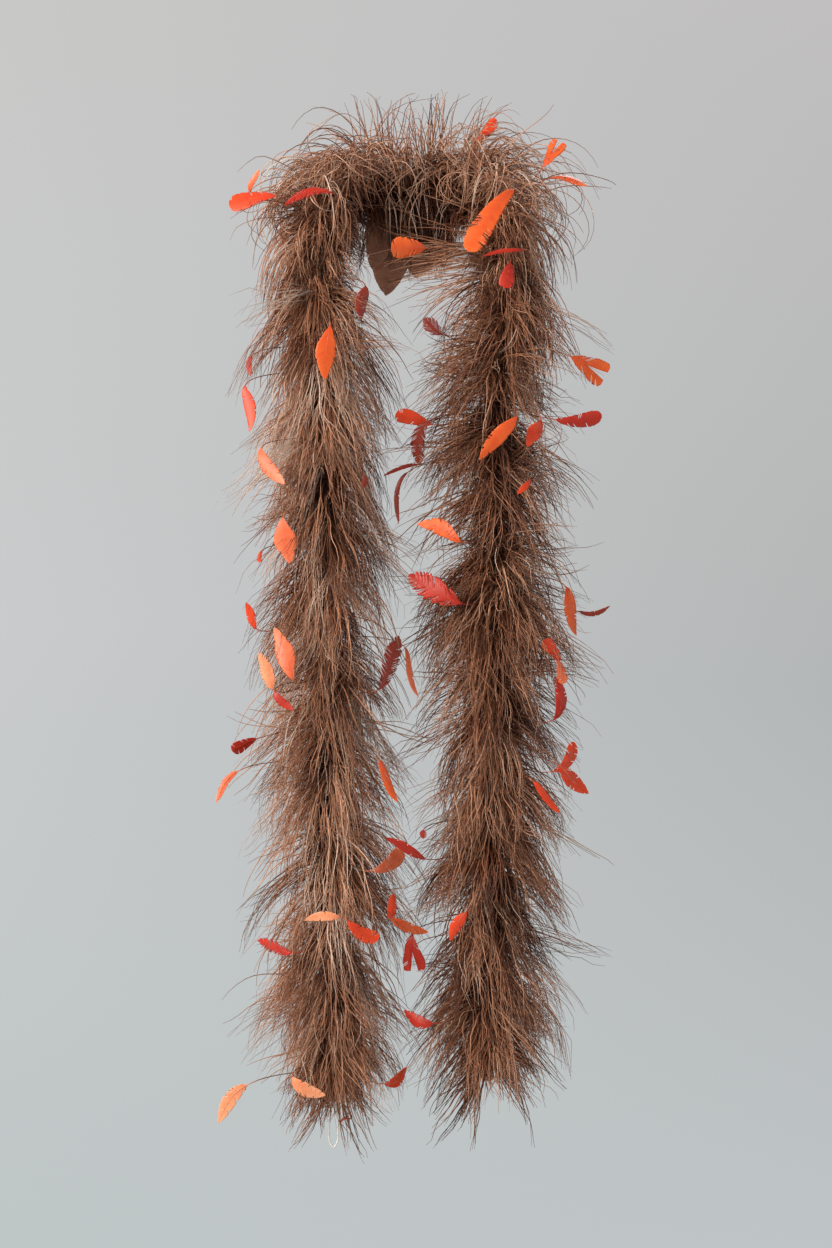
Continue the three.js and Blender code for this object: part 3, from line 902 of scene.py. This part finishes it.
def layVane(path, baseShare, facing, bow, curl, twist):
    # path runs from the tie at the cord to the vane's tip, and the vane starts at baseShare of it
    lengths = pathLengths(path)
    baseAt = lengths[-1] * baseShare
    vaneLength = lengths[-1] - baseAt
    forward, across = carriedFrames(path, facing)

    def onPath(values, share):
        # share is of the vane's length, and less than 0 on the way to it
        at = baseAt + share * vaneLength
        return np.stack([np.interp(at, lengths, axis) for axis in values.T], -1)

    def place(share, out, lift):
        # a point of the vane, with its bow, curl and twist; share runs from its base to its tip
        along, side = unit(onPath(forward, share)), unit(onPath(across, share))
        normal = np.cross(side, along)
        turn = np.radians(twist) * (share - 0.5)
        sideways = side * np.cos(turn)[..., None] + normal * np.sin(turn)[..., None]
        upward = np.cross(sideways, along)
        bend = side * (bow * vaneLength * 4 * share * (1 - share))[..., None]
        rise = normal * (curl * vaneLength * share**2)[..., None]
        return onPath(path, share) + bend + rise + sideways * out[..., None] + upward * lift[..., None]

    return vaneLength, -baseAt / vaneLength, onPath, place


def openSplits(shape, barbs):
    # Barbs that part from the next one, and how far their neighbours move along the quill
    reach, opening = vaneBuild["splitReach"], vaneBuild["splitOpen"]
    opened = random.choice(barbs - 2, size=min(shape["splits"], barbs - 2), replace=False) + 1
    shift = np.zeros(barbs)
    for i in opened:
        for j in range(min(reach, barbs - 1 - i)):
            shift[i + 1 + j] += opening * (1 - j / reach)
        for j in range(min(reach, i)):
            shift[i - j] -= opening * (1 - j / reach)
    return opened, shift


def addVaneHalf(bm, layers, half, shape, width, vaneLength, cup, place):
    # A grid of barbs on one side of the quill, leant towards the tip, ragged at its edge and split
    rows = vaneBuild["rows"]
    barbs = max(9, int(vaneLength / vaneBuild["barbPitch"]))
    verts = bmesh.ops.create_grid(bm, x_segments=2 * barbs, y_segments=rows, size=1)["verts"]
    column = np.array([round((v.co.x + 1) * barbs) for v in verts])
    row = np.array([round((v.co.y + 1) / 2 * rows) for v in verts])
    inFront = column % 2 * (1 - vaneBuild["gapShare"])
    barb = np.minimum(column // 2, barbs - 1)
    share = np.where(column == 2 * barbs, 1.0, (column // 2 + inFront) / barbs)
    out = row / rows
    tone = np.clip(random.normal(0.5, 0.2, barbs), 0, 1)
    tone = 0.5 * tone + 0.5 * np.convolve(tone, np.ones(5) / 5, mode="same")
    cut = random.uniform(0, 1, barbs) ** 2 * shape["ragged"]
    opened, shift = openSplits(shape, barbs)
    lean = shape["lean"] * width / 2 / vaneLength
    leant = share + lean * out**1.3 * (1 - share) ** 0.5 * 0.9 + shift[barb] * out**1.5
    leant = np.clip(leant, share * 0.5, 1 - 0.2 * (1 - share))
    wide = smoothOutline(shape["outline"], leant) * width / 2
    parted = shape.get("parting", 0) * width / 2 * np.clip((leant - 0.4) / 0.6, 0, 1) ** 1.4
    offset = half * (wide * out * (1 - cut[barb] * out**3) + parted)
    lift = -cup * np.abs(offset) ** 1.6 / (width / 2) ** 0.6
    placed = place(leant, offset, lift)
    for i, v in enumerate(verts):
        v.co = placed[i]
        for key, value in (("along", share[i]), ("across", half * out[i]), ("barb", tone[barb[i]])):
            v[layers[key]] = value
    gaps, gapFrom = {2 * i + 1 for i in opened}, max(1, round(rows * (1 - shape["depth"])))
    corner = {v: at for v, at in zip(verts, zip(column, row))}

    def firstCorner(face):
        return tuple(min(corner[v][i] for v in face.verts) for i in (0, 1))

    faces = sorted({f for v in verts for f in v.link_faces}, key=firstCorner)
    doomed = [f for f in faces if firstCorner(f)[0] in gaps and firstCorner(f)[1] >= gapFrom]
    bmesh.ops.delete(bm, geom=doomed, context="FACES")
    return placed[:, 2]


def closeVane(bm, layers, name):
    # Joins the halves, gives them their thickness and a map along and across the vane
    bmesh.ops.remove_doubles(bm, verts=bm.verts, dist=0.00001)
    bmesh.ops.recalc_face_normals(bm, faces=bm.faces)
    bm.normal_update()
    shell = bmesh.ops.extrude_face_region(bm, geom=bm.faces[:], use_keep_orig=True)
    for v in shell["geom"]:
        if isinstance(v, bmesh.types.BMVert):
            v.co += v.normal * vaneBuild["thickness"]
    bmesh.ops.recalc_face_normals(bm, faces=bm.faces)
    bakeMap = bm.loops.layers.uv.new("OFBake")
    for face in bm.faces:
        face.smooth = True
        for loop in face.loops:
            across, along = loop.vert[layers["across"]], loop.vert[layers["along"]]
            loop[bakeMap].uv = (0.5 + 0.49 * across, 0.01 + 0.98 * along)
    mesh = bpy.data.meshes.new(name)
    bm.to_mesh(mesh)
    bm.free()
    return mesh


def addVane(name, path, baseShare, facing, width, colour, kind, bow, curl, twist=0):
    # The vane, its quill for later, and the heights that it lies between
    vaneLength, tieShare, onPath, place = layVane(path, baseShare, facing, bow, curl, twist)
    bm = bmesh.new()
    layers = {key: bm.verts.layers.float.new(key) for key in ("along", "across", "barb")}
    cup = random.uniform(0.05, 0.2)
    for half in (-1, 1):
        heights = addVaneHalf(bm, layers, half, vaneKinds[kind], width, vaneLength, cup, place)
    piece = addPiece(name, closeVane(bm, layers, name), vaneMaterials[colour])
    *_, slot, quillShade = vaneColours[colour]
    # the quill, from its tie, and on as the vane's midrib
    rings = vaneBuild["quillRings"]
    shares = np.linspace(tieShare, 0.95, rings)
    midrib = place(np.clip(shares, 0, 1), np.zeros(rings), np.full(rings, vaneBuild["thickness"] * 0.3))
    points = np.where((shares < 0)[:, None], onPath(path, shares), midrib)
    radius = vaneBuild["quillRadius"] * np.interp(shares, [-2, 0, 0.4, 0.95], [0.7, 0.9, 0.6, 0.25])
    quill = {"points": points[None], "radius": radius[None], "shade": np.array([quillShade]),
             "along": np.interp(shares, [-0.3, 0.05, 1], [0, 0.8, 1])}
    return piece, quill, float(heights.min()), float(heights.max())


# The accents that stand in CAD too: name, the tier it is tied in above, the vane's base and tip as
# (degrees from the front, stand-off from the plumes, drop below the tie), its width, all in
# millimetres, then its colour, kind, bow and curl
tiedAccents = [
    ("loop_left_1", 1, (12, 9, 16), (-30, 9, 24), 11, "red", "frayed", 0.18, 0.1),
    ("loop_left_2", 1, (-42, 9, 12), (-71, 38, 12), 21, "vermilion", "round", 0, 0.05),
    ("loop_right_1", 0, (60, 10, 16), (76, 34, 18), 13, "vermilion", "round", 0.06, 0.08),
    ("loop_right_2", 1, (46, 16, -4), (52, 44, -10), 15, "orange", "fork", 0, 0),
    ("loop_right_3", 1, (59, 12, -6), (69, 38, 4), 12, "orange", "leaf", -0.1, 0),
    ("loop_right_4", 1, (10, 10, 14), (-30, 11, 60), 23, "orange", "round", 0.05, 0.08),
    ("left_1", 1, (-90, 14, -22), (-80, 12, 23), 12, "vermilion", "leaf", -0.12, 0),
    ("left_2", 1, (-58, 9, 39), (-31, 10, 74), 13, "coral", "leaf", 0.05, 0),
    ("left_3", 2, (-32, 12, 13), (-27, 10, 55), 21, "coral", "diamond", 0, 0.06),
    ("left_4", 4, (-25, 11, -19), (-43, 11, -67), 18, "coral", "diamond", 0.04, 0),
    ("left_5", 4, (41, 11, -9), (65, 14, -58), 16, "darkRed", "frayed", 0, 0),
    ("left_6", 4, (-80, 9, 34), (-70, 36, 44), 12, "red", "round", 0, 0),
    ("left_7", 6, (32, 12, -27), (67, 15, -44), 16, "coral", "round", 0.06, 0),
    ("left_8", 6, (8, 12, 13), (-20, 12, 16), 9, "peach", "leaf", 0.08, 0),
    ("left_9", 6, (-29, 10, 46), (-72, 14, 38), 12, "red", "frayed", 0, 0),
    ("left_10", 7, (-33, 8, 68), (-5, 5, 84), 13, "peach", "leaf", 0.1, 0),
    ("left_11", 7, (45, 8, 76), (70, 14, 64), 11, "vermilion", "leaf", 0.12, 0),
    ("left_12", 7, (-70, 24, 80), (-76, 50, 115), 14, "peach", "leaf", 0.06, 0),
    ("right_1", 1, (66, 9, -50), (76, 42, -37), 20, "orange", "fork", 0, 0),
    ("right_2", 1, (54, 10, 12), (70, 46, 3), 14, "red", "round", 0.05, 0),
    ("right_3", 1, (38, 11, 14), (27, 10, 44), 14, "vermilion", "diamond", 0.05, 0),
    ("right_4", 1, (17, 11, 14), (-11, 10, 56), 14, "orange", "leaf", 0.04, 0),
    ("right_5", 1, (-58, 10, 22), (-75, 12, 56), 15, "darkRed", "frayed", 0.1, 0),
    ("right_6", 2, (-29, 10, 41), (-68, 20, 20), 15, "orange", "leaf", 0.12, 0),
    ("right_7", 4, (58, 12, 66), (73, 35, 92), 14, "vermilion", "leaf", 0.06, 0),
    ("right_8", 6, (-18, 10, 23), (-32, 10, 50), 11, "vermilion", "leaf", 0.06, 0),
    ("right_9", 7, (-48, 10, 38), (-68, 26, 28), 12, "red", "leaf", -0.1, 0),
]
tieAbove = 0.012


def pathLengths(path):
    return np.concatenate([[0], np.cumsum(np.linalg.norm(np.diff(path, axis=0), axis=1))])


def tiedPath(side, place, index, base, tip):
    start = tierStarts(side, place)[index]
    full = tiers[place + "Radius"]

    def spot(degrees, radius, drop):
        return aroundCord(side, start + drop, degrees, radius)[0][0]

    points = [
        spot(base[0], core["radius"] + 0.001, base[2] / 1000 - tieAbove),
        spot(base[0], full + base[1] / 1000, base[2] / 1000),
        spot(tip[0], full + tip[1] / 1000, tip[2] / 1000),
    ]
    facing = 0.4 * unit(points[1] - points[0]) + cordAt(side, start + base[2] / 1000)[2][0]
    path = smoothRoute(points, samples=40)
    lengths = pathLengths(path)
    return path, lengths[40] / lengths[-1], facing


# Smaller ones, tied in with the flues: side, base, tip and width in millimetres, colour, kind, bow
looseAccents = [
    ("right", (-149, -30, 3), (-140, -38, 23), 6, "coral", "slim", 0),
    ("right", (14, -62, -53), (-19, -70, -54), 20, "orange", "round", 0.04),
    ("right", (89, -98, -70), (84, -102, -94), 14, "red", "round", 0),
    ("right", (102, -96, -59), (64, -98, -65), 4, "red", "slim", 0.06),
    ("left", (-42, -75, -88), (-46, -78, -120), 12, "darkRed", "leaf", 0.1),
    ("right", (29, -62, -132), (11, -66, -117), 14, "darkRed", "frayed", 0),
    ("left", (-73, -100, -127), (-78, -104, -176), 19, "orange", "diamond", 0.04),
    ("left", (-146, -45, -149), (-148, -46, -168), 6, "red", "slim", 0.05),
    ("left", (-142, -45, -401), (-152, -45, -376), 9, "vermilion", "leaf", 0.05),
    ("right", (19, -60, -214), (-15, -64, -205), 14, "vermilion", "round", 0.06),
    ("right", (7, -58, -250), (-26, -60, -261), 4, "darkRed", "slim", 0.05),
    ("right", (-3, -56, -257), (-11, -57, -305), 5, "darkRed", "slim", 0.08),
    ("right", (107, -95, -266), (95, -97, -279), 6, "vermilion", "leaf", 0),
    ("right", (47, -90, -378), (-2, -72, -352), 24, "red", "frayed", 0),
    ("right", (141, -50, -361), (150, -52, -407), 12, "orange", "leaf", 0.06),
    ("right", (153, -48, -384), (182, -48, -379), 5, "darkRed", "slim", 0.14),
    ("left", (-124, -84, -456), (-138, -80, -422), 13, "peach", "leaf", 0.05),
    ("left", (-124, -84, -456), (-106, -92, -474), 8, "red", "leaf", 0.05),
    ("left", (-6, -62, -417), (6, -64, -463), 6, "coral", "slim", 0.1),
    ("right", (134, -80, -430), (120, -84, -410), 12, "vermilion", "round", 0),
    ("right", (131, -82, -428), (138, -80, -450), 10, "coral", "round", 0),
    ("right", (128, -80, -483), (130, -80, -443), 11, "red", "leaf", 0.12),
    ("left", (-159, -50, -531), (-179, -50, -560), 7, "coral", "slim", 0.05),
    ("left", (-30, -78, -519), (-13, -74, -558), 8, "orange", "slim", 0.06),
    ("right", (128, -72, -530), (148, -66, -504), 12, "vermilion", "round", 0.12),
    ("right", (110, -88, -538), (134, -84, -567), 7, "vermilion", "slim", 0.04),
    ("right", (13, -86, -609), (-24, -97, -588), 9, "red", "leaf", 0.05),
    ("left", (-58, -100, -662), (-30, -98, -680), 14, "vermilion", "round", 0.1),
    ("left", (-21, -72, -664), (-17, -72, -641), 9, "vermilion", "slim", 0),
    ("left", (-21, -72, -662), (15, -64, -677), 10, "orange", "leaf", 0.08),
    ("right", (2, -66, -677), (3, -68, -712), 18, "red", "fork", 0),
    ("left", (-55, -60, -848), (-66, -60, -853), 3, "darkRed", "slim", 0.3),
    ("left", (-136, -70, -329), (-139, -70, -340), 5, "vermilion", "round", 0),
    ("left", (-42, -90, -262), (-44, -92, -273), 6, "darkRed", "frayed", 0),
    ("right", (11, -62, -583), (11, -63, -592), 7, "red", "frayed", 0),
]
# Undyed vanes that hang inside the loop at the nape: base, tip and width in millimetres, bow
napeVanes = [
    ((-2, 78, 2), (-25, 58, -84), 38, 0.06),
    ((10, 79, 4), (4, 66, -66), 40, -0.04),
    ((-26, 72, 2), (-38, 60, -58), 30, -0.05),
    ((26, 72, 4), (30, 64, -56), 30, 0.05),
]


def loosePath(side, base, tip):
    base, tip = np.array(base) / 1000, np.array(tip) / 1000
    tie = cordAt(side, cordHeight(side, base[2] + tieAbove))[0][0]
    path = smoothRoute([tie, base, tip], samples=40)
    lengths = pathLengths(path)
    return path, lengths[40] / lengths[-1], unit(base - tie) * 0.4 + np.array((0, -1.0, 0))


def addAccents():
    accents, quills = [], {}
    for name, index, base, tip, width, colour, kind, bow, curl in tiedAccents:
        side = "left" if "left" in name else "right"
        place = "shoulder" if "loop" in name else "tail"
        laid = tiedPath(side, place, index, base, tip)
        accents.append((f"vane_{name}", f"accent_{name}", side, laid, width, colour, kind, bow, curl))
    for i, (side, base, tip, width, colour, kind, bow) in enumerate(looseAccents):
        laid = loosePath(side, base, tip)
        accents.append((f"small_vane_{i + 1}", None, side, laid, width, colour, kind, bow,
                        vaneBuild["smallCurl"]))
    for name, node, side, laid, width, colour, kind, bow, curl in accents:
        twist = random.uniform(-vaneBuild["twist"], vaneBuild["twist"])
        piece, quill, low, high = addVane(name, *laid, width / 1000, colour, kind, bow, curl, twist)
        joint, body = bendTouched(side, low, high), bodyBelow(side, (low + high) / 2)
        rideOrBend(piece, joint, body)
        if node:
            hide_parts(node)
        quills.setdefault((side, joint["name"] if joint else None, body), []).append(quill)
    for i, (base, tip, width, bow) in enumerate(napeVanes):
        base, tip = np.array(base) / 1000, np.array(tip) / 1000
        tie = nape + (base - nape) * 0.3  # near the cord
        path = smoothRoute([tie, (tie + base) / 2 + (0, 0.001, 0), base, tip], samples=30)
        piece, *_ = addVane(f"nape_vane_{i + 1}", path, 0.15, np.array((0, -1.0, 0)), width / 1000,
                            "web", "web", bow, vaneBuild["smallCurl"])
        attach(piece, "neck_loop")
    for (side, jointName, body), batch in sorted(quills.items(), key=lambda item: str(item[0])):
        name = f"quills_{side}_{body}" + ("_bend" if jointName else "")
        piece = tubesFrom(name, batch, quillTubes)
        piece.data.materials.append(quillColour)
        rideOrBend(piece, joints.get(jointName), body)
    print("accents:", len(accents), "and", len(napeVanes), "at the nape")


addAccents()


# A floor of pale matt paint, soft studio lights and a pale wall
stageSetup = {"floor": -1.45, "radius": 1.95, "colour": "#d6d6d4"}


def addStage(setup):
    floor = bmesh.new()
    bmesh.ops.create_circle(floor, cap_ends=True, segments=96, radius=setup["radius"])
    bmesh.ops.translate(floor, vec=(0, 0, setup["floor"]), verts=floor.verts)
    mesh = bpy.data.meshes.new("floor")
    floor.to_mesh(mesh)
    floor.free()
    material, shader = newMaterial("painted_floor", roughness=0.8)
    shader.inputs["Base Color"].default_value = linear(setup["colour"])
    addPiece("floor", mesh, material)


lights = [
    ("key", (-2.3, -1.35, 0.8), 1.1, 104, "#fff2e6"),
    ("fill", (1.9, -1.6, 0.2), 1.6, 9, "#f1f5ff"),
    ("back", (0.6, 2.0, 1.5), 1.4, 30, "#ffffff"),
]


def addLights():
    for name, place, size, power, colour in lights:
        data = bpy.data.lights.new(name, "AREA")
        data.shape = "DISK"
        data.size = size
        data.energy = power
        data.color = linear(colour)[:3]
        light = bpy.data.objects.new(name, data)
        light.location = place
        aim = Vector((0, 0, -0.4)) - Vector(place)
        light.rotation_euler = aim.to_track_quat("-Z", "Y").to_euler()
        scene.collection.objects.link(light)


skySetup = {
    "left": [(0.0, "#bfc6c6"), (0.5, "#c9cbcc"), (1.0, "#c8c8c7")],
    "right": [(0.0, "#bfc4c6"), (0.45, "#b4b7b7"), (1.0, "#c1bfc0")],
    "halfWidth": 0.14,
    "halfHeight": 0.21,
    "lightColour": "#d2d6da",
    "lightStrength": 0.5,
}


def addSky(setup):
    # A pale wall, shaded softly from side to side and from floor to ceiling
    world = bpy.data.worlds.new("studio")
    world.use_nodes = True
    tree = world.node_tree
    wall = tree.nodes["Background"]
    direction = addNode(world, "TexCoord")
    parts = addNode(world, "SeparateXYZ", {0: direction.outputs["Generated"]})
    shares = []
    for axis, half in (("X", setup["halfWidth"]), ("Z", setup["halfHeight"])):
        share = addNode(world, "MapRange", {
            "Value": parts.outputs[axis], "From Min": -half, "From Max": half})
        shares.append(share.outputs["Result"])
    colours = []
    for sideName in ("left", "right"):
        ramp = addNode(world, "ValToRGB", {"Fac": shares[1]})
        setRamp(ramp, setup[sideName])
        colours.append(ramp.outputs["Color"])
    mixed = addNode(world, "Mix", {"Factor": shares[0], "A": colours[0], "B": colours[1]},
                    data_type="RGBA")
    tree.links.new(mixed.outputs["Result"], wall.inputs["Color"])
    glow = addNode(world, "Background", {
        "Color": linear(setup["lightColour"]), "Strength": setup["lightStrength"]})
    seen = addNode(world, "LightPath")
    addNode(world, "MixShader", {
        0: seen.outputs["Is Camera Ray"], 1: glow.outputs[0], 2: wall.outputs[0]},
        tree.nodes["World Output"].inputs["Surface"])
    scene.world = world
    scene.view_settings.view_transform = "Standard"


addStage(stageSetup)
addLights()
addSky(skySetup)
print("stage:", len(lights), "lights")

bpy.context.view_layer.update()
